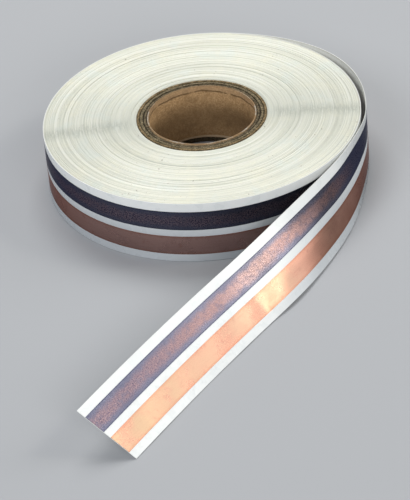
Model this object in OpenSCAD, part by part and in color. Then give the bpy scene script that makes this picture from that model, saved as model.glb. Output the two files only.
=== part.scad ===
// Roll of two-stripe copper foil tape on a cardboard core, lying flat.
// The outermost turn has come loose and its tail twists over and lies on the table.
// Frame: origin on the bore axis in the bottom face, +Z up along the bore. Sizes in mm.

/* [Core] */
// Diameter of the hole through the core
core_bore_d = 25.4; // [12:0.1:80]
// Outer diameter of the cardboard core, where the winding starts
core_od = 31.2; // [16:0.1:100]
// Thickness of the thin paper that faces the hole
core_face_t = 0.35; // [0.1:0.05:1]
// Thickness of the outermost ply of the core
core_outer_t = 0.75; // [0.3:0.05:2]

/* [Roll] */
// Outer diameter of the wound roll over its outermost turn
roll_od = 76; // [40:0.5:160]
// Number of turn groups that stand in for the single turns
turn_groups = 3; // [1:1:8]

/* [Tape] */
// Full width of the tape
tape_w = 15.875; // [8:0.005:40]
// Thickness of the paper release liner, on the inside of each turn
liner_t = 0.08; // [0.04:0.01:0.3]
// Thickness of the white carrier strip with its adhesive
film_t = 0.08; // [0.04:0.01:0.3]
// Thickness of each foil stripe with its adhesive
foil_t = 0.05; // [0.02:0.01:0.2]
// Distance from the lower tape edge to the bare copper stripe
copper_low = 2; // [0.5:0.01:4]
// Width of the bare copper stripe
copper_w = 4.93; // [2:0.01:8]
// White gap between the two stripes
stripe_gap = 1.8; // [0.5:0.01:4]
// Width of the dark coated stripe
dark_w = 4.93; // [2:0.01:8]

/* [Tail] */
// Angle around the roll where the outermost turn lifts off
lift_angle = 75.7; // [0:0.1:180]
// Angle round the roll that the outermost turn hugs before it lifts off
hug_angle = 344; // [300:1:350]
// Length of the loose strip, from lift-off to the cut end
tail_len = 176.6; // [120:0.1:200]
// Bend of the strip at lift-off, degrees per mm
bend_1 = 0.789; // [0:0.001:4]
// Bend of the strip where it turns back to the roll
bend_2 = 2.002; // [0:0.001:4]
// Bend of the strip as it passes the side of the roll
bend_3 = 1.137; // [0:0.001:4]
// Bend of the strip as it leaves the roll
bend_4 = 0.586; // [0:0.001:4]
// Bend of the nearly straight end
bend_5 = -0.07; // [-1:0.01:1]
// Strip length between two bend values
bend_step = 28; // [10:1:60]
// Angle the strip twists over to show its stripes upwards
twist = 50; // [0:0.1:90]
// Strip length from lift-off where the twist begins
twist_from = 56; // [20:0.1:80]
// Strip length from lift-off where the twist is complete
twist_to = 121; // [90:0.1:170]
// How far each corner of the cut end is off square
cut_skew = 1.2; // [0:0.1:4]

/* [Bends] */
// Strip length from lift-off to the first bend line
bend_line_1 = 51; // [40:1:60]
// Strip length from lift-off to the second bend line
bend_line_2 = 95; // [80:1:110]
// Strip length from lift-off to the third bend line
bend_line_3 = 140; // [125:1:160]
// Gap left between two strip pieces at a bend line
bend_gap = 0.3; // [0.2:0.05:1]

/* [Hidden] */
tape_t = liner_t + film_t + foil_t;
roll_r = roll_od / 2;
hug_steps = 86;
// The flat facets of the outermost turn touch the round pack only along their middles
pack_r = (roll_r - tape_t) * cos(hug_angle / hug_steps / 2) - 0.005;
core_r = core_od / 2;
bore_r = core_bore_d / 2;
ply_in = bore_r + core_face_t;
ply_out = core_r - core_outer_t;
ply_mid = (ply_in + ply_out) / 2;
group_t = (pack_r - core_r) / turn_groups;
dark_low = copper_low + copper_w + stripe_gap;
copper_top = copper_low + copper_w;
dark_top = dark_low + dark_w;
bends = [bend_1, bend_2, bend_3, bend_4, bend_5];
// Heights across the tape where a stripe starts or ends
marks = [0, copper_low, copper_top, dark_low, dark_top, tape_w];
// Depths below the outer face of the foil
d_foil = foil_t;
d_film = foil_t + film_t;
d_liner = tape_t;
seg_len = 3;
$fn = 96;

// ---- the line of the strip ----

// Bend in degrees per mm at length s from lift-off
function bend_at(s) = lookup(s, [for (i = [0 : 4]) [i * bend_step, bends[i]]]);

// Point and heading every millimetre along the loose strip
line = [
  for (
    i = 0, h = lift_angle - 90, p = [roll_r * cos(lift_angle), roll_r * sin(lift_angle)];
    i <= ceil(tail_len) + 1;
    g = h - bend_at(i + 0.5) / 2,
    p = p + [cos(g), sin(g)],
    h = h - bend_at(i + 0.5),
    i = i + 1
  ) [p.x, p.y, h]
];

// The same values at any length s
function on_line(s) = line[floor(s)] * (1 - s + floor(s)) + line[floor(s) + 1] * (s - floor(s));

// Share of the twist done at length s, smooth at both ends
function share(s) = max(0, min(1, (s - twist_from) / (twist_to - twist_from)));
function twist_at(s) = twist * share(s) * share(s) * (3 - 2 * share(s));

// A frame is [middle of the outer face, across the tape, out of the stripes, end slope]
function loose_frame(s, skew = 0) =
  let (q = on_line(s), a = twist_at(s), n = [-sin(q.z), cos(q.z), 0])
  [
    [q.x, q.y, tape_w / 2 * cos(a) + tape_t * sin(a)],
    [0, 0, cos(a)] - n * sin(a),
    n * cos(a) + [0, 0, sin(a)],
    [cos(q.z), sin(q.z), 0] * skew
  ];
function hug_frame(a) = [
  [roll_r * cos(a), roll_r * sin(a), tape_w / 2],
  [0, 0, 1],
  [cos(a), sin(a), 0],
  [0, 0, 0]
];

// Frames from length a to length b, with the skewed cut only at the very end
function loose_frames(a, b) =
  let (n = ceil((b - a) / seg_len))
  [
    for (i = [0 : n])
      loose_frame(a + (b - a) * i / n, i == n && b > tail_len - 0.01 ? cut_skew : 0)
  ];
// Frames of the outermost turn, from its hidden start to the first bend line
turn_frames = concat(
  [for (i = [0 : hug_steps - 1]) hug_frame(lift_angle + hug_angle * (1 - i / hug_steps))],
  loose_frames(0, bend_line_1 - bend_gap / 2)
);
near_frames = loose_frames(bend_line_1 + bend_gap / 2, bend_line_2 - bend_gap / 2);
mid_frames = loose_frames(bend_line_2 + bend_gap / 2, bend_line_3 - bend_gap / 2);
end_frames = loose_frames(bend_line_3 + bend_gap / 2, tail_len);

// ---- solids along the strip ----

// One point at height h across the tape and depth d below the outer face
function tape_point(f, h, d) =
  f[0] + f[1] * (h - tape_w / 2) - f[2] * d + f[3] * (h / tape_w * 2 - 1);

// One layer of the tape: the heights of its corners, its outer depth and its inner depth
module layer(frames, heights, d_out, d_in) {
  a = len(heights);
  m = 2 * a;
  n = len(frames);
  points = [
    for (f = frames, j = [0 : m - 1])
      j < a ? tape_point(f, heights[j], d_out) : tape_point(f, heights[m - 1 - j], d_in)
  ];
  walls = [
    for (i = [0 : n - 2], j = [0 : m - 1], k = [0, 1])
      let (p = i * m + j, q = i * m + (j + 1) % m)
      j < a
        ? (k == 0 ? [p, q, q + m] : [p, q + m, p + m])
        : (k == 0 ? [p, q, p + m] : [q, q + m, p + m])
  ];
  first = [for (j = [m - 1 : -1 : 0]) j];
  last = [for (j = [0 : m - 1]) (n - 1) * m + j];
  polyhedron(points = points, faces = concat(walls, [first, last]), convexity = 6);
}
module liner_of(frames, heights = marks) {
  layer(frames, heights, d_film, d_liner);
}
module film_of(frames, heights = marks) {
  layer(frames, heights, d_foil, d_film);
}
module dark_of(frames) {
  layer(frames, [dark_low, dark_top], 0, d_foil);
}
module copper_of(frames) {
  layer(frames, [copper_low, copper_top], 0, d_foil);
}

// ---- rings of the core and the wound pack ----

module ring(r_in, r_out, low, high) {
  rotate_extrude()
    polygon([[r_in, low], [r_out, low], [r_out, high], [r_in, high]]);
}
// Radii inside one turn group, liner innermost and foil outermost
function group_r(i, part) = core_r + group_t * (i + part);
liner_part = liner_t / tape_t;
foil_part = 1 - foil_t / tape_t;

module core_face_ply() {
  color("#c9b28f")
    ring(bore_r, ply_in, 0, tape_w);
}
module core_inner_ply() {
  color("#9c8468")
    ring(ply_in, ply_mid, 0, tape_w);
}
module core_middle_ply() {
  color("#85705a")
    ring(ply_mid, ply_out, 0, tape_w);
}
module core_outer_ply() {
  color("#a58d6c")
    ring(ply_out, core_r, 0, tape_w);
}
module wound_liner() {
  color("#e9e6cf")
    for (i = [0 : turn_groups - 1])
      ring(group_r(i, 0), group_r(i, liner_part), 0, tape_w);
}
module wound_film() {
  color("#eef0ea")
    for (i = [0 : turn_groups - 1])
      film_ring(group_r(i, liner_part), group_r(i, foil_part), group_r(i, 1));
}
// A film ring with a groove in its outer face for each stripe
module film_ring(r_in, r_groove, r_out) {
  rotate_extrude()
    polygon([
      [r_in, 0],
      [r_out, 0],
      [r_out, copper_low],
      [r_groove, copper_low],
      [r_groove, copper_top],
      [r_out, copper_top],
      [r_out, dark_low],
      [r_groove, dark_low],
      [r_groove, dark_top],
      [r_out, dark_top],
      [r_out, tape_w],
      [r_in, tape_w]
    ]);
}
module wound_dark_foil() {
  color("#2a2a4a")
    for (i = [0 : turn_groups - 1])
      ring(group_r(i, foil_part), group_r(i, 1), dark_low, dark_top);
}
module wound_copper_foil() {
  color("#b06a4a")
    for (i = [0 : turn_groups - 1])
      ring(group_r(i, foil_part), group_r(i, 1), copper_low, copper_top);
}

// ---- the outermost turn, fixed to the roll ----

module outer_turn_liner() {
  color("#e9e6cf")
    liner_of(turn_frames, [0, tape_w]);
}
module outer_turn_film() {
  color("#f4f5f2")
    film_of(turn_frames, [0, tape_w]);
}
module outer_turn_dark_foil() {
  color("#2a2a4a")
    dark_of(turn_frames);
}
module outer_turn_copper_foil() {
  color("#b06a4a")
    copper_of(turn_frames);
}

// ---- the loose tail, in three lengths ----

module tail_near_liner() {
  color("#e9e6cf")
    liner_of(near_frames);
}
module tail_near_film() {
  color("#f4f5f2")
    film_of(near_frames);
}
module tail_near_dark_foil() {
  color("#2a2a4a")
    dark_of(near_frames);
}
module tail_near_copper_foil() {
  color("#c98058")
    copper_of(near_frames);
}
module tail_mid_liner() {
  color("#e9e6cf")
    liner_of(mid_frames);
}
module tail_mid_film() {
  color("#f4f5f2")
    film_of(mid_frames);
}
module tail_mid_dark_foil() {
  color("#2a2a4a")
    dark_of(mid_frames);
}
module tail_mid_copper_foil() {
  color("#c98058")
    copper_of(mid_frames);
}
module tail_end_liner() {
  color("#e9e6cf")
    liner_of(end_frames);
}
module tail_end_film() {
  color("#f4f5f2")
    film_of(end_frames);
}
module tail_end_dark_foil() {
  color("#2a2a4a")
    dark_of(end_frames);
}
module tail_end_copper_foil() {
  color("#c98058")
    copper_of(end_frames);
}

core_face_ply();
core_inner_ply();
core_middle_ply();
core_outer_ply();
wound_liner();
wound_film();
wound_dark_foil();
wound_copper_foil();
outer_turn_liner();
outer_turn_film();
outer_turn_dark_foil();
outer_turn_copper_foil();
tail_near_liner();
tail_near_film();
tail_near_dark_foil();
tail_near_copper_foil();
tail_mid_liner();
tail_mid_film();
tail_mid_dark_foil();
tail_mid_copper_foil();
tail_end_liner();
tail_end_film();
tail_end_dark_foil();
tail_end_copper_foil();
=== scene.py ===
"""Looks for the copper foil tape roll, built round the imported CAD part. Blender 4.5.

Shapes are worked out in millimetres, in the CAD's frame, and go to metres when a mesh is made.
The place of a point on the strip is its length along, counted from where the strip lifts off the
roll, and its height across, counted from the strip's lower edge.
"""
from math import cos, pi, radians, sin

import bpy
import numpy as np
from mathutils import Matrix, Vector


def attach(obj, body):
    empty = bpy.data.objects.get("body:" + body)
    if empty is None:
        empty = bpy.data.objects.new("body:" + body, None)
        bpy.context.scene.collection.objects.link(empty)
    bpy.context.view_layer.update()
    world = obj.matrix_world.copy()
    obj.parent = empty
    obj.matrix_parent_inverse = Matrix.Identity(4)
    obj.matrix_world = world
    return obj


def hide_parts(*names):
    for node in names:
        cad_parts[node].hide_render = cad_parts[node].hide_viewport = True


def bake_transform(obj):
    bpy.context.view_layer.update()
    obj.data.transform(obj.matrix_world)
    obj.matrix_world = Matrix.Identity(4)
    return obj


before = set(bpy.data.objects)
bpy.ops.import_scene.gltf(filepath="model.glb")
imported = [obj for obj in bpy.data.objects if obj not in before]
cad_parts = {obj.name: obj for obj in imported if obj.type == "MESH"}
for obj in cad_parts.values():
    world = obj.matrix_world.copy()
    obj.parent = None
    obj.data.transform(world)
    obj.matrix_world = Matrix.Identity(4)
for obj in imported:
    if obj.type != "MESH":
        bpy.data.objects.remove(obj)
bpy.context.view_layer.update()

# ---------------------------------------------------------------- sizes in mm and degrees, as in the CAD
MM_PER_M = 1000
TAPE_W = 15.875
LINER_T, FILM_T, FOIL_T = 0.08, 0.08, 0.05
TAPE_T = LINER_T + FILM_T + FOIL_T
# lower and upper edge of each stripe
COPPER = (2.0, 6.93)
DARK = (8.73, 13.66)
ROLL_R, CORE_R, BORE_R = 38.0, 15.6, 12.7
# where the strip lifts off the roll, as an angle from +X
LIFT = 75.7
TAIL_LEN = 176.6
# how many degrees the strip's line bends in a millimetre, at every BEND_STEP along it
BENDS = (0.789, 2.002, 1.137, 0.586, -0.07)
BEND_STEP = 28
TWIST, TWIST_FROM, TWIST_TO = 50, 56, 121
# the bend lines
BEND_LINES = (51, 95, 140)

# ---------------------------------------------------------------- sizes that only the looks have
# one visual length of the strip ends and the next begins halfway between two bend lines
SPLITS = (0, (BEND_LINES[0] + BEND_LINES[1]) / 2, (BEND_LINES[1] + BEND_LINES[2]) / 2, TAIL_LEN)
# how far the corners of the cut end run ahead and behind, and over what length that fades out
CUT_SKEW, SKEW_LENGTH = 1.2, 6
CREASE_AT = 119.4
# mesh steps: across the strip, along it, and sections of the turn that hugs the roll
ACROSS_STEP, ALONG_STEP, HUG_SECTIONS = 0.55, 0.6, 401
# turns in the wound pack, and sections in each
TURNS = (ROLL_R - TAPE_T - CORE_R) / TAPE_T
PER_TURN = 180
# in each turn of the pack the carrier starts LINER_EDGE out from the turn's inside and stands
# FILM_DIP lower than the liner, and the turns stand PACK_DROP lower than the strip is wide
LINER_EDGE, FILM_DIP, PACK_DROP = 0.09, 0.015, 0.07
# the most that a ply's end is rounded, sections round a ply, and rows up its inner face and over its end
PLY_SOFT, PLY_SECTIONS, PLY_ROWS, PLY_END_ROWS = 0.12, 480, 40, 4
# the heights between which a flared foot straightens
FLARE_Z = (0.3, 0.9)
# the core's boards: the thin face ply's outside, the outer ply's inside, and halfway between the two
FACE_OUT = BORE_R + 0.35
OUTER_IN = CORE_R - 0.75
BOARD_MIDDLE = (FACE_OUT + OUTER_IN) / 2


def smooth(x, start, end):
    """0 up to start, 1 from end on, and a smooth step between them."""
    u = np.clip((x - start) / (end - start), 0, 1)
    return u * u * (3 - 2 * u)


def swell(x, middle, width):
    """A smooth hump of height 1 at the middle."""
    return np.exp(-(((x - middle) / width) ** 2))


# ---------------------------------------------------------------- the line of the strip
def strip_line():
    """Place and heading at every millimetre of the loose strip."""
    count = int(TAIL_LEN) + 3
    bend = np.interp(np.arange(count) + 0.5, np.arange(len(BENDS)) * BEND_STEP, BENDS)
    heading = LIFT - 90 - np.concatenate([[0], np.cumsum(bend)])
    halfway = np.radians(heading[:-1] - bend / 2)
    x = ROLL_R * cos(radians(LIFT)) + np.concatenate([[0], np.cumsum(np.cos(halfway))])
    y = ROLL_R * sin(radians(LIFT)) + np.concatenate([[0], np.cumsum(np.sin(halfway))])
    return x, y, np.radians(heading)


LINE = strip_line()


def loose_frame(along):
    """Middle of the outer face, and the ways across, out and along: arrays of shape (len(along), 3)."""
    x, y, heading = (np.interp(along, np.arange(len(LINE[0])), values) for values in LINE)
    twist = radians(TWIST) * smooth(along, TWIST_FROM, TWIST_TO)
    up = np.array([0, 0, 1.0])
    side = np.stack([-np.sin(heading), np.cos(heading), 0 * heading], 1)
    ahead = np.stack([np.cos(heading), np.sin(heading), 0 * heading], 1)
    middle = np.stack([x, y, TAPE_W / 2 * np.cos(twist) + TAPE_T * np.sin(twist)], 1)
    cosine, sine = np.cos(twist)[:, None], np.sin(twist)[:, None]
    return middle, cosine * up - sine * side, cosine * side + sine * up, ahead


def hug_frame(turns):
    """The same on the roll, at a number of turns back from the lift-off."""
    angle = np.radians(LIFT) + 2 * pi * turns
    radius = ROLL_R - TAPE_T * turns
    out = np.stack([np.cos(angle), np.sin(angle), 0 * angle], 1)
    ahead = np.stack([np.sin(angle), -np.cos(angle), 0 * angle], 1)
    across = np.tile([0, 0, 1.0], (len(angle), 1))
    middle = out * radius[:, None] + np.array([0, 0, TAPE_W / 2])
    return middle, across, out, ahead


# ---------------------------------------------------------------- meshes
def mesh_object(name, points, faces, material, attributes=None, sharp=35):
    """An object from points in mm, quads and caps. Edges steeper than sharp degrees stay hard."""
    mesh = bpy.data.meshes.new(name)
    quads = np.asarray(faces["quads"], np.int32).reshape(-1, 4)
    caps = [np.asarray(cap, np.int32) for cap in faces.get("caps", [])]
    corners = np.concatenate([quads.ravel()] + caps)
    ends = np.cumsum([4] * len(quads) + [len(cap) for cap in caps])
    starts = np.concatenate([[0], ends[:-1]]).astype(np.int32)
    mesh.vertices.add(len(points))
    mesh.vertices.foreach_set("co", (np.asarray(points) / MM_PER_M).astype(np.float32).ravel())
    mesh.loops.add(len(corners))
    mesh.loops.foreach_set("vertex_index", corners.astype(np.int32))
    mesh.polygons.add(len(starts))
    mesh.polygons.foreach_set("loop_start", starts)
    mesh.update(calc_edges=True)
    mesh.validate()
    for key, values in (attributes or {}).items():
        layer = mesh.attributes.new(key, "FLOAT", "POINT")
        layer.data.foreach_set("value", np.asarray(values, np.float32).ravel())
    mesh.shade_smooth()
    mesh.set_sharp_from_angle(angle=radians(sharp))
    mesh.materials.append(material)
    obj = bpy.data.objects.new(name, mesh)
    bpy.context.collection.objects.link(obj)
    return obj


def tube_faces(sections, size, closed=False):
    """Quads round sections of size points each, with end caps unless the tube closes on itself."""
    rows = sections if closed else sections - 1
    i, j = np.meshgrid(np.arange(rows), np.arange(size), indexing="ij")
    next_i, next_j = (i + 1) % sections, (j + 1) % size
    corners = [i * size + j, i * size + next_j, next_i * size + next_j, next_i * size + j]
    quads = np.stack(corners, -1).reshape(-1, 4)[:, ::-1]
    if closed:
        return {"quads": quads}
    first = np.arange(size)
    return {"quads": quads, "caps": [first, (sections - 1) * size + first[::-1]]}


# ---------------------------------------------------------------- how the loose strip stands off its line
def waves(along, across):
    """Gentle waves that are strongest at both edges, and shallow buckles between them."""
    wave_height, buckle_height = 0.05, 0.035
    from_middle = np.abs(across / TAPE_W - 0.5) * 2
    edge = wave_height * np.sin(along / 4.1 + 0.9 * np.sin(along / 9.7)) * from_middle**3
    pattern = np.sin(along / 2.3 + across / 3.1) * np.sin(along / 13.0 + 1.1)
    buckle = buckle_height * pattern * np.sin(across / TAPE_W * pi)
    return smooth(along, 25, 60) * (edge + buckle)


def crease(along, across):
    """A valley, sharp at the lower edge and softer above, that falls away on its far side."""
    bottom, shoulder, slant, roundest = 0.15, 0.60, 0.33, 4.5
    height = across / TAPE_W
    place = along - (CREASE_AT + slant * across)
    rounding = roundest * smooth(height, 0.16, 0.42)
    far = np.sqrt(place**2 + rounding**2) - rounding
    before = bottom + shoulder * np.tanh(far / 6) * swell(far, 0, 16) - bottom * smooth(-place, 8, 45)
    after = bottom * np.exp(-far / 7)
    return np.where(place < 0, before, after) * (1 - smooth(height, 0.30, 0.95))


def bow(along, across):
    """The twisting length bows outward between its two edges."""
    height, crown, half_width = 0.6, 5.8, 10.1
    u = np.clip((along - TWIST_FROM) / (TWIST_TO - TWIST_FROM), 0, 1)
    return height * 4 * u * (1 - u) * smooth(along, 58, 86) * (1 - ((across - crown) / half_width) ** 2)


def lean(along, across):
    """Beside the roll the upper half leans in, until the upper edge all but touches the rim."""
    most, given_back, beside_roll, width = 0.55, 0.25, 70, 9
    inward = most * smooth(across, 6.5, 12.8) - given_back * smooth(across, 13.2, TAPE_W)
    return inward * swell(along, beside_roll, width)


def stand_off(along, across):
    """How far the loose strip stands off its ideal surface, in mm, with a low hump before the crease."""
    hump = 0.14 * swell(along, 110, 7)
    return waves(along, across) + crease(along, across) + hump + bow(along, across) - lean(along, across)


def strip_layer(name, material, stretch, heights, depths):
    """One layer of a stretch of the strip: its two ends along, or "hug" for the turn on the roll."""
    steps = max(2, round((heights[1] - heights[0]) / ACROSS_STEP))
    rise = np.linspace(heights[0], heights[1], steps + 1)
    section = np.concatenate([rise, rise[::-1]])
    depth = np.repeat(depths, len(rise))
    if stretch == "hug":
        turns = np.linspace(1.0, 0.0, HUG_SECTIONS)
        middle, across, out, ahead = hug_frame(turns)
        places = -turns * 2 * pi * ROLL_R
    else:
        places = np.linspace(stretch[0], stretch[1], int((stretch[1] - stretch[0]) / ALONG_STEP) + 2)
        middle, across, out, ahead = loose_frame(places)
    along, height = np.meshgrid(places, section, indexing="ij")
    inward = depth[None, :] - (0 * along if stretch == "hug" else stand_off(along, height))
    skew = CUT_SKEW * smooth(places, TAIL_LEN - SKEW_LENGTH, TAIL_LEN)
    points = (
        middle[:, None, :]
        + across[:, None, :] * (height - TAPE_W / 2)[..., None]
        - out[:, None, :] * inward[..., None]
        + ahead[:, None, :] * (skew[:, None] * (height / TAPE_W * 2 - 1))[..., None]
    )
    # nothing goes below the table
    points[..., 2] = np.maximum(points[..., 2], 0)
    attributes = {"along": along, "across": height}
    return mesh_object(name, points.reshape(-1, 3), tube_faces(*along.shape), material, attributes)


# ---------------------------------------------------------------- material helpers
def darker(colour, share):
    """A colour with only that share of its light."""
    return tuple(part * share for part in colour)


def opaque(value):
    """A colour of three parts gets its alpha, and anything else stays as it is."""
    return (*value, 1) if isinstance(value, tuple) else value


class Nodes:
    """A material's node tree, with short calls for the nodes used here."""

    def __init__(self, name):
        self.material = bpy.data.materials.new(name)
        self.material.use_nodes = True
        self.tree = self.material.node_tree
        self.shader = self.tree.nodes["Principled BSDF"]

    def add(self, kind, inputs, **settings):
        node = self.tree.nodes.new("ShaderNode" + kind)
        for key, value in settings.items():
            setattr(node, key, value)
        for key, value in inputs.items():
            self.feed(node.inputs[key], value)
        return node

    def feed(self, socket, value):
        if isinstance(value, bpy.types.NodeSocket):
            self.tree.links.new(value, socket)
        else:
            socket.default_value = value

    def math(self, operation, *values):
        return self.add("Math", dict(enumerate(values)), operation=operation).outputs[0]

    def plus(self, a, b):
        return self.math("ADD", a, b)

    def minus(self, a, b):
        return self.math("SUBTRACT", a, b)

    def times(self, a, b):
        return self.math("MULTIPLY", a, b)

    def size(self, a):
        """The value without its sign."""
        return self.math("ABSOLUTE", a)

    def distance(self, x, y):
        return self.math("SQRT", self.plus(self.times(x, x), self.times(y, y)))

    def attribute(self, name):
        return self.add("Attribute", {}, attribute_name=name).outputs["Fac"]

    def scaled(self, vector, factors):
        return self.add("VectorMath", {0: vector, 1: factors}, operation="MULTIPLY").outputs[0]

    def place(self):
        """The place on the object, in mm."""
        return self.scaled(self.add("TexCoord", {}).outputs["Object"], (MM_PER_M,) * 3)

    def split(self, vector):
        return self.add("SeparateXYZ", {"Vector": vector}).outputs

    def join(self, x=0.0, y=0.0, z=0.0):
        return self.add("CombineXYZ", {"X": x, "Y": y, "Z": z}).outputs[0]

    def noise(self, vector, scale, detail=3.0, rough=0.5):
        inputs = {"Vector": vector, "Scale": scale, "Detail": detail, "Roughness": rough}
        return self.add("TexNoise", inputs).outputs["Fac"]

    def band(self, value, start, end, low=0.0, high=1.0):
        """A smooth step from low at start to high at end."""
        inputs = {"Value": value, "From Min": start, "From Max": end, "To Min": low, "To Max": high}
        return self.add("MapRange", inputs, interpolation_type="SMOOTHSTEP").outputs["Result"]

    def before(self, value, start, end):
        """A smooth step from 1 at start to 0 at end."""
        return self.minus(1.0, self.band(value, start, end))

    def stretch(self, value, rise, fall, high):
        """High between rise and fall, and 0 on both sides."""
        return self.minus(self.band(value, *rise, 0.0, high), self.band(value, *fall, 0.0, high))

    def mix(self, share, a, b):
        """Colour a, with that share of colour b."""
        node = self.add("Mix", {}, data_type="RGBA", blend_type="MIX")
        for key, value in (("Factor", share), ("A", opaque(a)), ("B", opaque(b))):
            self.feed(node.inputs[key], value)
        return node.outputs["Result"]

    def bump(self, height, strength, distance, normal=None):
        inputs = {"Height": height, "Strength": strength, "Distance": distance}
        if normal is not None:
            inputs["Normal"] = normal
        return self.add("Bump", inputs).outputs["Normal"]

    def done(self, **inputs):
        for key, value in inputs.items():
            self.feed(self.shader.inputs[key.replace("_", " ")], opaque(value))
        return self.material


def strip_place(nodes):
    """Along, across, and a texture place in mm that runs with the strip."""
    along, across = nodes.attribute("along"), nodes.attribute("across")
    return along, across, nodes.join(along, across)


def streak_place(nodes, along, across, share):
    """A texture place for streaks, which are drawn out along the strip."""
    return nodes.join(nodes.times(along, share), across)


# ---------------------------------------------------------------- materials of the strip
# the limits that go with along, across, x, y, z, a radius or an edge are millimetres, and those that go
# with a noise are its levels, from 0 to 1
def film_material():
    """White carrier: glossy and a little cloudy, with painted shade on its margins, smudge marks and
    specks.
    """
    nodes = Nodes("white_carrier")
    along, across, place = strip_place(nodes)
    shade_grey, smudge_and_shade_grey, shadow_grey = (0.47, 0.50, 0.53), (0.58, 0.61, 0.62), (0.15, 0.165, 0.18)
    cloud = nodes.noise(place, 0.22, 3)
    fine = nodes.noise(place, 2.4, 4, 0.6)
    tone = nodes.mix(nodes.band(cloud, 0.35, 0.7), (0.845, 0.87, 0.865), (0.90, 0.912, 0.90))
    tone = nodes.mix(nodes.times(nodes.band(fine, 0.62, 0.78), 0.15), tone, (0.62, 0.66, 0.68))
    speck = nodes.noise(place, 5.5, 1)
    tone = nodes.mix(nodes.times(nodes.band(speck, 0.79, 0.82), 0.5), tone, (0.35, 0.33, 0.30))
    # painted shade: on the roll and where the strip twists, it is greyer towards its lower edge
    low_edge_shade = nodes.times(nodes.before(along, 84, 120), nodes.band(across, 14.8, 5.5, 0.0, 0.88))
    tone = nodes.mix(low_edge_shade, tone, shade_grey)
    # painted shade: the lower margin stays grey for longer, and both margins are greyest beside the roll
    lower = nodes.band(across, 3.0, 1.2)
    late_low_shade = nodes.stretch(along, (90, 104), (112, 128), 0.6)
    tone = nodes.mix(nodes.times(late_low_shade, lower), tone, shade_grey)
    beside_roll_shade = nodes.stretch(along, (84, 62), (50, 30), 0.8)
    margins = nodes.math("MAXIMUM", lower, nodes.band(across, 12.5, 14.0, 0.0, 0.55))
    tone = nodes.mix(nodes.times(beside_roll_shade, margins), tone, shadow_grey)
    # faint finger smudges on the flat tail, most of them on its lower margin, and painted shade along that
    # margin that fades out towards the end
    smudge = nodes.band(nodes.noise(place, 0.5, 4, 0.65), 0.48, 0.62, 0.0, 0.16)
    smudge = nodes.times(smudge, nodes.band(across, 13.0, 9.0, 0.25, 1.0))
    smudges_and_shade = nodes.plus(smudge, nodes.times(lower, nodes.band(along, 156, 142, 0.04, 0.30)))
    tone = nodes.mix(nodes.times(nodes.band(along, 114, 130), smudges_and_shade), tone, smudge_and_shade_grey)
    rough = nodes.band(cloud, 0.3, 0.7, 0.24, 0.34)
    bump = nodes.bump(fine, 0.25, 0.00002)
    return nodes.done(Base_Color=tone, Roughness=rough, Normal=bump)


def copper_material():
    """Bare copper foil: cloudy metal with rolling lines, grain, duller edges and spots of tarnish, and
    painted light and shade along the strip.
    """
    nodes = Nodes("bare_copper_foil")
    along, across, place = strip_place(nodes)
    edge = nodes.size(nodes.minus(across, sum(COPPER) / 2))
    cloud = nodes.noise(place, 0.16, 4, 0.55)
    lines = nodes.noise(streak_place(nodes, along, across, 0.06), 3.2, 3, 0.6)
    grain = nodes.noise(place, 4.5, 3, 0.65)
    # the clean metal's tone changes along the strip, partly as painted light: the yellow stretch after the
    # crease is a painted highlight
    metal_tone_and_painted_light = nodes.mix(nodes.band(along, 98, 112), (0.425, 0.240, 0.180), (0.352, 0.222, 0.158))
    metal_tone_and_painted_light = nodes.mix(nodes.band(along, 135, 165), metal_tone_and_painted_light, (0.350, 0.242, 0.160))
    metal_tone_and_painted_light = nodes.mix(nodes.stretch(along, (117, 121), (123, 133), 0.8), metal_tone_and_painted_light, (0.345, 0.275, 0.192))
    tone = nodes.mix(nodes.band(cloud, 0.26, 0.64), (0.345, 0.180, 0.130), metal_tone_and_painted_light)
    # painted light: a brighter, warmer stretch where the strip turns up to the light
    tone = nodes.mix(nodes.stretch(along, (90, 98), (101, 110), 0.6), tone, (0.55, 0.275, 0.20))
    # painted shade: back towards the roll the metal is duller and mauve
    tone = nodes.mix(nodes.band(along, 95, 58, 0.0, 0.7), tone, (0.37, 0.243, 0.23))
    tone = nodes.mix(nodes.times(nodes.band(lines, 0.5, 0.72), 0.25), tone, (0.26, 0.135, 0.105))
    tone = nodes.mix(nodes.band(grain, 0.48, 0.74, 0.0, 0.45), tone, (0.22, 0.118, 0.09))
    tone = nodes.mix(nodes.times(nodes.band(edge, 1.7, 2.46), 0.5), tone, (0.30, 0.125, 0.08))
    spot = nodes.noise(place, 0.55, 2)
    tone = nodes.mix(nodes.band(spot, 0.58, 0.80, 0.0, 0.45), tone, (0.26, 0.12, 0.095))
    rough = nodes.plus(nodes.band(cloud, 0.3, 0.7, 0.23, 0.28), nodes.times(grain, 0.06))
    rough = nodes.plus(rough, nodes.stretch(along, (70, 90), (98, 110), 0.07))
    bump = nodes.bump(lines, 0.12, 0.00004, nodes.bump(grain, 0.20, 0.00003))
    return nodes.done(
        Base_Color=tone, Metallic=1.0, Roughness=rough, Normal=bump, Specular_Tint=(0.55, 0.42, 0.40)
    )


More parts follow.
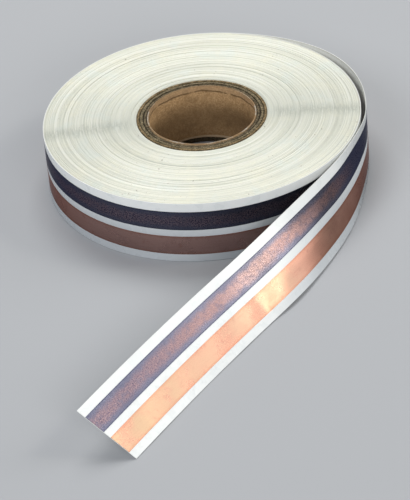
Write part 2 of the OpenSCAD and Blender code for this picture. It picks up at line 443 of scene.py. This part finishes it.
def dark_material():
    """Dark coated foil: blue-black at its edges, its coating gone through wear to bronze along its middle
    on the tail, with painted highlights on the bronze.
    """
    nodes = Nodes("dark_coated_foil")
    along, across, place = strip_place(nodes)
    from_middle = nodes.size(nodes.minus(across, sum(DARK) / 2))
    wander = nodes.minus(nodes.noise(place, 0.35, 3), 0.5)
    ragged = nodes.plus(from_middle, nodes.times(wander, 1.6))
    grain = nodes.noise(place, 3.0, 4, 0.7)
    fine = nodes.noise(place, 6.5, 2, 0.6)
    # the coating wears through to bronze; the pale stretch beside the crease and the warm stretch before it
    # are painted highlights
    bronze_and_highlight = nodes.mix(nodes.band(grain, 0.34, 0.68), (0.175, 0.122, 0.135), (0.28, 0.17, 0.152))
    bronze_and_highlight = nodes.mix(nodes.stretch(along, (104, 114), (116, 134), 0.4), bronze_and_highlight, (0.46, 0.33, 0.32))
    bronze_and_highlight = nodes.mix(nodes.stretch(along, (82, 94), (97, 106), 0.6), bronze_and_highlight, (0.38, 0.245, 0.235))
    # the coating where it is whole, bluest beside the roll
    fresh = nodes.mix(nodes.band(grain, 0.40, 0.60), (0.025, 0.025, 0.055), (0.19, 0.145, 0.17))
    bluish = nodes.mix(nodes.band(grain, 0.40, 0.65), (0.026, 0.034, 0.062), (0.12, 0.125, 0.165))
    fresh = nodes.mix(nodes.stretch(along, (86, 70), (40, 25), 0.75), fresh, bluish)
    # where the bronze shows: partly wear, partly painted light and shade, strongest on the twisting part of
    # the tail
    wear_and_light = nodes.minus(nodes.band(along, 71, 89), nodes.band(along, 124, 165, 0.0, 0.70))
    heart = nodes.mix(wear_and_light, fresh, bronze_and_highlight)
    patch = nodes.noise(place, 0.6, 4, 0.65)
    heart = nodes.mix(nodes.band(patch, 0.44, 0.70, 0.0, 0.6), heart, (0.10, 0.095, 0.13))
    pits = nodes.times(nodes.band(fine, 0.56, 0.70), nodes.band(wear_and_light, 0.0, 1.0, 0.42, 0.26))
    heart = nodes.mix(pits, heart, (0.045, 0.04, 0.065))
    rim = nodes.mix(nodes.band(fine, 0.4, 0.6), (0.045, 0.05, 0.085), (0.10, 0.10, 0.14))
    rim = nodes.mix(nodes.times(wear_and_light, nodes.band(grain, 0.3, 0.7, 0.5, 1.0)), rim, (0.145, 0.14, 0.185))
    tone = nodes.mix(nodes.band(ragged, 0.6, 2.1), heart, rim)
    tone = nodes.mix(nodes.times(nodes.band(from_middle, 2.15, 2.42), 0.8), tone, (0.035, 0.04, 0.07))
    rough = nodes.band(grain, 0.35, 0.7, 0.26, 0.38)
    bump = nodes.bump(fine, 0.4, 0.00002, nodes.bump(grain, 0.4, 0.00004))
    return nodes.done(
        Base_Color=tone, Metallic=1.0, Roughness=rough, Normal=bump, Specular_Tint=(0.42, 0.43, 0.48)
    )


def liner_material():
    """Release paper: fibrous and matte, with faint lines along it, yellowed edges and specks."""
    nodes = Nodes("liner_paper")
    along, across, place = strip_place(nodes)
    fibre = nodes.noise(place, 1.9, 6, 0.75)
    cloud = nodes.noise(place, 0.25, 3)
    lines = nodes.noise(streak_place(nodes, along, across, 0.08), 2.2, 3, 0.6)
    tone = nodes.mix(nodes.band(fibre, 0.36, 0.66), (0.82, 0.815, 0.76), (0.93, 0.925, 0.88))
    tone = nodes.mix(nodes.band(cloud, 0.40, 0.70, 0.0, 0.35), tone, (0.66, 0.67, 0.62))
    tone = nodes.mix(nodes.band(lines, 0.55, 0.75, 0.0, 0.30), tone, (0.92, 0.91, 0.86))
    edge = nodes.size(nodes.minus(across, TAPE_W / 2))
    tone = nodes.mix(nodes.band(edge, 7.1, 7.93, 0.0, 0.5), tone, (0.60, 0.59, 0.52))
    speck = nodes.noise(place, 2.1, 2)
    tone = nodes.mix(nodes.band(speck, 0.72, 0.76, 0.0, 0.5), tone, (0.36, 0.30, 0.22))
    rough = nodes.band(cloud, 0.3, 0.7, 0.46, 0.60)
    bump = nodes.bump(lines, 0.25, 0.00004, nodes.bump(fibre, 0.3, 0.00003))
    return nodes.done(Base_Color=tone, Roughness=rough, Normal=bump)


# ---------------------------------------------------------------- materials of the wound pack
def turn_shades(nodes, low, high):
    """The pack's tone: its shades change along the spiral, so that each turn differs from the next."""
    turn = nodes.attribute("turn")

    def on_spiral(x_per_turn, y_per_turn, z):
        return nodes.join(nodes.times(turn, x_per_turn), nodes.times(turn, y_per_turn), z)

    own = nodes.noise(on_spiral(2.0, 0.8, 0.0), 0.55, 3, 0.8)
    single = nodes.noise(on_spiral(1.0, 1.3, 9.0), 1.0, 2, 0.6)
    wide = nodes.noise(on_spiral(0.16, 0.5, 3.0), 1.0, 2)
    tone = nodes.mix(nodes.band(own, 0.30, 0.70), low, high)
    tone = nodes.mix(nodes.times(nodes.band(wide, 0.35, 0.7), 0.28), tone, (0.66, 0.69, 0.63))
    tone = nodes.mix(nodes.band(single, 0.56, 0.68, 0.0, 0.42), tone, darker(low, 0.62))
    return nodes.mix(nodes.band(single, 0.44, 0.36, 0.0, 0.6), tone, (0.97, 0.96, 0.90))


def painted_side_shade(nodes, tone, x, y):
    """Painted shade: grey streaks that run out from the core to both sides, in patches that follow the
    turns.
    """
    sideways = nodes.plus(y, nodes.times(nodes.size(x), 0.08))
    wave = nodes.noise(nodes.join(x), 0.25, 2)
    off = nodes.plus(sideways, nodes.times(nodes.minus(wave, 0.5), 2.5))
    near = nodes.before(nodes.size(off), 0.0, 4.0)
    turn = nodes.attribute("turn")
    patch = nodes.noise(nodes.join(nodes.times(turn, 2.0), nodes.times(off, 0.35)), 0.8, 3, 0.7)
    streak_shade = nodes.times(near, nodes.band(patch, 0.34, 0.60, 0.15, 1.0))
    outside = nodes.band(nodes.size(x), 15.5, 19)
    tone = nodes.mix(nodes.times(nodes.times(streak_shade, outside), 0.62), tone, (0.33, 0.355, 0.30))
    # painted shade: the face is greyer towards both sides, and round the core
    radius = nodes.distance(x, y)
    turned = nodes.math("DIVIDE", nodes.size(sideways), radius)
    tone = nodes.mix(nodes.band(turned, 0.85, 0.0, 0.0, 0.34), tone, (0.49, 0.505, 0.45))
    return nodes.mix(nodes.band(radius, 30, 17, 0.0, 0.16), tone, (0.49, 0.505, 0.45))


def wound_material(name, low, high, rough):
    """Edges of the wound strip: shades of single turns, painted shade to both sides and round the core,
    specks and a sheen round the roll.
    """
    nodes = Nodes(name)
    place = nodes.place()
    x, y, _ = nodes.split(place)
    tone = turn_shades(nodes, low, high)
    tint = nodes.noise(place, 0.16, 3, 0.6)
    tone = nodes.mix(nodes.band(tint, 0.52, 0.68, 0.0, 0.30), tone, (0.72, 0.80, 0.78))
    tone = nodes.mix(nodes.band(tint, 0.47, 0.33, 0.0, 0.25), tone, (0.90, 0.86, 0.68))
    grit = nodes.noise(place, 2.6, 4, 0.75)
    tone = nodes.mix(nodes.band(grit, 0.54, 0.70, 0.0, 0.35), tone, (0.50, 0.51, 0.46))
    tone = painted_side_shade(nodes, tone, x, y)
    speck = nodes.noise(place, 1.9, 2)
    tone = nodes.mix(nodes.band(speck, 0.715, 0.75, 0.0, 0.65), tone, (0.26, 0.20, 0.13))
    fleck = nodes.noise(place, 0.95, 1)
    tone = nodes.mix(nodes.band(fleck, 0.765, 0.79, 0.0, 0.7), tone, (0.25, 0.20, 0.14))
    bump = nodes.bump(nodes.noise(place, 3.0, 3, 0.6), 0.3, 0.00003)
    round_axis = nodes.add("Tangent", {}, direction_type="RADIAL", axis="Z").outputs[0]
    return nodes.done(
        Base_Color=tone, Roughness=rough, Normal=bump, Tangent=round_axis,
        Anisotropic=0.9, Anisotropic_Rotation=0.25, Specular_IOR_Level=1.0,
    )


# ---------------------------------------------------------------- materials of the core
def cut_board(nodes, place, tone, dark, r_in, r_out):
    """The cut end of a board is darkest along its two faces."""
    x, y, _ = nodes.split(place)
    half = (r_out - r_in) / 2
    from_middle = nodes.size(nodes.minus(nodes.distance(x, y), (r_in + r_out) / 2))
    frayed = nodes.minus(nodes.noise(place, 0.5, 3, 0.6), 0.5)
    from_middle = nodes.plus(from_middle, nodes.times(frayed, half * 2.6))
    return nodes.mix(nodes.band(from_middle, half * 0.35, half * 1.1, 0.0, 0.70), tone, darker(dark, 0.4))


def bore_face(nodes, place, tone, dark, lip, fibre):
    """The bore's lining: a lapped paper edge as a broken dark line, painted shade that darkens it below,
    both ends frayed pale, the lower one made paler as painted light.
    """
    x, y, z = nodes.split(place)
    turn = nodes.math("ARCTAN2", y, x)
    cosine, sine = nodes.math("COSINE", turn), nodes.math("SINE", turn)
    wave = nodes.noise(nodes.join(cosine, sine), 1.6, 3, 0.6)
    above_line = nodes.minus(z, nodes.plus(TAPE_W - 2.5, nodes.times(wave, 2.3)))
    broken = nodes.band(nodes.noise(nodes.join(nodes.times(turn, 3), 0.0, 5.0), 1.3, 3), 0.30, 0.42)
    seam = nodes.times(nodes.before(nodes.size(above_line), 0.05, 0.36), broken)
    tone = nodes.mix(nodes.band(above_line, 0.0, 0.3, 0.0, 0.25), tone, (0.50, 0.34, 0.22))
    tone = nodes.mix(nodes.times(seam, 0.68), tone, (0.06, 0.038, 0.018))
    # painted shade: darker down the bore, and a little lighter again near its foot
    depth = nodes.minus(nodes.band(z, 14.3, 8.0, 0.0, 0.74), nodes.band(z, 7.0, 2.0, 0.0, 0.26))
    tone = nodes.mix(depth, tone, darker(dark, 0.25))
    tone = nodes.mix(nodes.band(z, TAPE_W - 0.14, TAPE_W - 0.06, 0.0, 0.6), tone, darker(dark, 0.45))
    # the upper end is frayed in places, least at the back, and the lower end all round, where it is also
    # made paler as painted light
    top, foot = nodes.band(z, TAPE_W - 0.12, TAPE_W - 0.02), nodes.before(z, 1.75, 2.05)
    patches = nodes.noise(nodes.join(cosine, sine, 4.0), 2.6, 4, 0.7)
    kept = nodes.times(nodes.band(fibre, 0.42, 0.6, 0.3, 0.9), nodes.band(patches, 0.45, 0.58, 0.05, 1.0))
    kept = nodes.times(kept, nodes.band(sine, 0.80, 0.20, 0.10, 1.0))
    low_half = nodes.math("LESS_THAN", z, 5.0)
    kept = nodes.math("MAXIMUM", kept, nodes.times(low_half, 0.85))
    frayed = nodes.mix(low_half, lip, (0.56, 0.43, 0.29))
    return nodes.mix(nodes.times(nodes.math("MAXIMUM", top, foot), kept), tone, frayed)


def kraft_material(name, dark, light, r_in, r_out, lip):
    """Brown board with fibres, darker strands and specks. lip is the frayed tone of the bore's lining."""
    nodes = Nodes(name)
    place = nodes.place()
    fibre = nodes.noise(place, 2.4, 6, 0.8)
    cloud = nodes.noise(place, 0.6, 3)
    strand = nodes.noise(nodes.scaled(place, (1, 1, 7)), 1.1, 4, 0.7)
    tone = nodes.mix(nodes.band(fibre, 0.40, 0.62), dark, light)
    tone = nodes.mix(nodes.times(nodes.band(strand, 0.45, 0.75), 0.35), tone, darker(dark, 0.55))
    tone = nodes.mix(nodes.band(cloud, 0.5, 0.68, 0.0, 0.35), tone, darker(dark, 0.5))
    speck = nodes.noise(place, 2.2, 1)
    tone = nodes.mix(nodes.times(nodes.band(speck, 0.76, 0.79), 0.7), tone, (0.03, 0.025, 0.02))
    if lip is None:
        tone = cut_board(nodes, place, tone, dark, r_in, r_out)
    else:
        tone = bore_face(nodes, place, tone, dark, lip, fibre)
    bump = nodes.bump(strand, 0.35, 0.00008, nodes.bump(fibre, 0.6, 0.0001))
    return nodes.done(Base_Color=tone, Roughness=0.9, Normal=bump, Specular_IOR_Level=0.15)


# ---------------------------------------------------------------- the strip: outermost turn and tail
FILM = film_material()
BARE_COPPER = copper_material()
COATED = dark_material()
LINER = liner_material()
LAYERS = {
    # heights across the strip, depths of its two faces below the outer face, record slot
    "liner": (LINER, (0, TAPE_W), (FOIL_T + FILM_T, TAPE_T), "liner_paper"),
    "film": (FILM, (0, TAPE_W), (FOIL_T, FOIL_T + FILM_T), "white_carrier"),
    "dark_foil": (COATED, DARK, (0, FOIL_T), "dark_coated_foil"),
    "copper_foil": (BARE_COPPER, COPPER, (0, FOIL_T), "bare_copper_foil"),
}
BODIES = ("roll", "tail_near", "tail_mid", "tail_end")
for layer, (material, heights, depths, slot) in LAYERS.items():
    hug = strip_layer(f"outer_turn_{layer}_wrap", material, "hug", heights, depths)
    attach(hug, "roll")
    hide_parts(f"outer_turn_{layer}")
    for i, bend_line in enumerate(BEND_LINES):
        a, b = BODIES[i], BODIES[i + 1]
        piece = strip_layer(f"{b}_{layer}_strip", material, SPLITS[i:i + 2], heights, depths)
        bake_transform(piece)
        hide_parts(f"{b}_{layer}")


# ---------------------------------------------------------------- the wound pack: one spiral strip
def turn_noise(turns, knots_per_turn, seed):
    """Smooth noise along the spiral, about -1 to 1."""
    rng = np.random.default_rng(seed)
    knots = rng.uniform(-1, 1, int(TURNS * knots_per_turn) + 8)
    place = turns * knots_per_turn
    i = np.floor(place).astype(int)
    share = place - i
    share = share * share * (3 - 2 * share)
    return knots[i] * (1 - share) + knots[i + 1] * share


def wound_ribbon(name, material, r_from, r_to, dip):
    """The strip's edge in every turn: each stands a little higher or lower than its neighbours."""
    count = int(TURNS * PER_TURN)
    turns = 1 + np.linspace(0, TURNS - 0.02, count)
    back = turns - 1
    wide = turn_noise(back, 0.13, seed=3) * 0.07
    own = turn_noise(back, 1.7, seed=5) * 0.08 + turn_noise(back, 0.55, seed=9) * 0.06
    proud = np.maximum(turn_noise(back, 1.1, seed=11) - 0.72, 0) * 0.45
    sunk = smooth(turns, TURNS - 3, TURNS + 1) * -0.10
    top = TAPE_W + wide + own + proud + sunk - dip - PACK_DROP
    low = turn_noise(back, 1.5, seed=17) * 0.04 + 0.05 + dip
    _, _, out, _ = hug_frame(turns)
    inside = ROLL_R - TAPE_T * turns - TAPE_T
    points = np.empty((count, 4, 3))
    for k, (r, z) in enumerate(((r_from, low), (r_to, low), (r_to, top), (r_from, top))):
        points[:, k, :2] = out[:, :2] * (inside + r)[:, None]
        points[:, k, 2] = z
    attributes = {"turn": np.repeat(turns[:, None], 4, 1)}
    return mesh_object(name, points.reshape(-1, 3), tube_faces(count, 4), material, attributes, sharp=30)


liner_edge = wound_material("liner_paper_edge", (0.62, 0.615, 0.51), (0.92, 0.905, 0.78), 0.5)
film_edge = wound_material("white_carrier_edge", (0.66, 0.675, 0.59), (0.93, 0.93, 0.83), 0.45)
wound_liner = wound_ribbon("wound_liner_turns", liner_edge, 0.0, LINER_EDGE, 0.0)
wound_film = wound_ribbon("wound_film_turns", film_edge, LINER_EDGE, TAPE_T, FILM_DIP)
for piece, node, slot in (
    (wound_liner, "wound_liner", "liner_paper"),
    (wound_film, "wound_film", "white_carrier"),
):
    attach(piece, "roll")
    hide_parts(node)


# ---------------------------------------------------------------- the cardboard core
def ply(name, material, r_in, r_out, rise, foot, flare, seed, lapped):
    """A ply of the core with a fuzzy end. flare is how far its foot turns inward; lapped paper is wavy."""
    rng = np.random.default_rng(seed)
    angle = np.arange(PLY_SECTIONS) * 2 * pi / PLY_SECTIONS

    def rough(amount, wave_counts):
        total = np.zeros(PLY_SECTIONS)
        for waves_round in wave_counts:
            height = rng.uniform(0.4, 1) / len(wave_counts)
            total += height * np.sin(waves_round * angle + rng.uniform(0, 2 * pi))
        return total * amount

    top = TAPE_W + rise + rough(0.06, (2, 3, 5, 9, 17, 31, 53))
    low = foot + rough(0.02 if foot < 0.1 else 0.12, (2, 3, 7, 19))
    soft = min(PLY_SOFT, (r_out - r_in) * 0.3)
    outline = [(r_in + soft, low)]
    for k in range(PLY_ROWS + 1):
        share = k / PLY_ROWS
        z = (low + soft) * (1 - share) + (top - soft) * share
        r = r_in - flare * (1 - smooth(z, *FLARE_Z))
        if lapped:
            r = r_in + 0.02 + np.abs(rough(0.03, (4, 6, 9)))
        outline.append((r, z))
    outline.append((r_in + soft * 0.35, top - soft * 0.25))
    for k in range(PLY_END_ROWS + 1):
        share = k / PLY_END_ROWS
        r = (r_in + soft) * (1 - share) + (r_out - soft) * share
        outline.append((r, top + rough(0.035, (7, 13, 23, 41, 67))))
    outline.append((r_out - soft * 0.25, top - soft * 0.3))
    outline.append((r_out, top - soft))
    outline.append((r_out, low + soft))
    outline.append((r_out - soft, low))
    points = np.empty((PLY_SECTIONS, len(outline), 3))
    for k, (r, z) in enumerate(outline):
        points[:, k, 0] = np.cos(angle) * r
        points[:, k, 1] = np.sin(angle) * r
        points[:, k, 2] = z
    faces = tube_faces(PLY_SECTIONS, len(outline), closed=True)
    faces["quads"] = faces["quads"][:, ::-1]
    return mesh_object(name, points.reshape(-1, 3), faces, material, sharp=50)


PLIES = {
    # shape: inner and outer radius, rise over the wound face, lower end, flare at the foot, seed
    # tones: dark, light, frayed
    "core_face_ply": (
        (BORE_R, FACE_OUT, 0.03, 1.25, 0.0, 21),
        ((0.42, 0.255, 0.12), (0.67, 0.45, 0.235), (0.50, 0.475, 0.41)),
    ),
    "core_inner_ply": (
        (FACE_OUT + 0.08, BOARD_MIDDLE - 0.03, -0.16, 0.02, 0.38, 22),
        ((0.045, 0.035, 0.021), (0.25, 0.195, 0.12), None),
    ),
    "core_middle_ply": (
        (BOARD_MIDDLE + 0.06, OUTER_IN - 0.03, -0.05, 0.02, 0.0, 23),
        ((0.055, 0.044, 0.026), (0.35, 0.28, 0.17), None),
    ),
    "core_outer_ply": (
        (OUTER_IN + 0.05, CORE_R - 0.02, 0.03, 0.02, 0.0, 24),
        ((0.085, 0.062, 0.03), (0.40, 0.29, 0.16), None),
    ),
}
for node, (shape, (dark, light, lip)) in PLIES.items():
    r_in, r_out = shape[:2]
    board = kraft_material(f"kraft_{node}", dark, light, r_in, r_out, lip)
    piece = ply(f"{node}_board", board, *shape, lapped=lip is not None)
    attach(piece, "roll")
    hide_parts(node)

# the buried foil inside the pack keeps its CAD rings
for node, material in (("wound_dark_foil", COATED), ("wound_copper_foil", BARE_COPPER)):
    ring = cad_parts[node]
    ring.data.materials.clear()
    ring.data.materials.append(material)

# ---------------------------------------------------------------- floor and light
# from here on, places and sizes are in metres
FLOOR_HALF, FLOOR_Z = 6, -0.0001
WORLD_COLOUR, WORLD_STRENGTH = (0.90, 0.95, 1.0, 1), 0.26


def plain_floor():
    """A square of matte grey floor, just below the roll."""
    mesh = bpy.data.meshes.new("floor")
    corners = ((-1, -1), (1, -1), (1, 1), (-1, 1))
    mesh.from_pydata([(x * FLOOR_HALF, y * FLOOR_HALF, FLOOR_Z) for x, y in corners], [], [(0, 1, 2, 3)])
    obj = bpy.data.objects.new("floor", mesh)
    bpy.context.collection.objects.link(obj)
    nodes = Nodes("floor")
    grey = nodes.done(Base_Color=(0.44, 0.45, 0.47), Roughness=0.85, Specular_IOR_Level=0.2)
    mesh.materials.append(grey)
    return obj


def softbox(name, azimuth, elevation, distance, size, power, colour, aim):
    """An area light that faces aim from an azimuth (0 is +X, 90 is +Y) and a height angle, in degrees."""
    a, e = radians(azimuth), radians(elevation)
    way = Vector((cos(a) * cos(e), sin(a) * cos(e), sin(e)))
    light = bpy.data.lights.new(name, "AREA")
    light.shape = "RECTANGLE"
    light.size, light.size_y = size
    light.energy = power
    light.color = colour
    obj = bpy.data.objects.new(name, light)
    obj.location = Vector(aim) + way * distance
    obj.rotation_euler = (-way).to_track_quat("-Z", "Y").to_euler()
    bpy.context.collection.objects.link(obj)


plain_floor()

world = bpy.data.worlds.new("studio")
world.use_nodes = True
background = world.node_tree.nodes["Background"]
background.inputs["Color"].default_value = WORLD_COLOUR
background.inputs["Strength"].default_value = WORLD_STRENGTH
bpy.context.scene.world = world
bpy.context.scene.view_settings.view_transform = "Standard"

MIDDLE, SHINE_SPOT = (0, -0.02, 0.01), (0.011, -0.059, 0.003)
LIGHTS = (
    # name, azimuth, elevation, distance, size, power, colour, aim
    ("key", 12, 31, 1.0, (0.42, 0.62), 2.05, (1, 1, 1), MIDDLE),
    ("back", 95, 60, 0.6, (0.36, 0.30), 1.95, (1, 0.99, 0.96), MIDDLE),
    ("front", 285, 25, 1.0, (0.6, 0.25), 2.9, (1, 1, 1), MIDDLE),
    ("left", 225, 40, 1.2, (0.7, 0.5), 4.7, (0.95, 0.97, 1), MIDDLE),
    ("hot", 1, 43, 1.0, (0.17, 0.17), 1.0, (1, 0.95, 0.80), SHINE_SPOT),
)
for light in LIGHTS:
    softbox(*light)

# ---------------------------------------------------------------- camera
# height angle and roll in degrees, distance from the target and the target's place in mm
ELEVATION, ROLL, DISTANCE = 34.92, -5.2, 608.9
TARGET = np.array([-2.14, -44.74, 7.94])
# the lens and the picture's height on the sensor in mm, and what is too near to show in metres
LENS, SENSOR, CLIP = 194.4, 36, 0.01


def place_camera():
    """A camera that looks at the target from the front and above."""
    elevation, roll = radians(ELEVATION), radians(ROLL)
    back = np.array([0, -cos(elevation), sin(elevation)])
    level = np.array([1.0, 0, 0])
    upright = np.cross(back, level)
    right = level * cos(roll) + upright * sin(roll)
    up = -level * sin(roll) + upright * cos(roll)
    place = (TARGET + back * DISTANCE) / MM_PER_M
    data = bpy.data.cameras.new("camera")
    data.lens = LENS
    data.sensor_width = SENSOR
    data.clip_start = CLIP
    camera = bpy.data.objects.new("camera", data)
    rows = [[right[i], up[i], back[i], place[i]] for i in range(3)]
    camera.matrix_world = Matrix(rows + [[0, 0, 0, 1]])
    bpy.context.collection.objects.link(camera)
    return camera


bpy.context.scene.camera = place_camera()
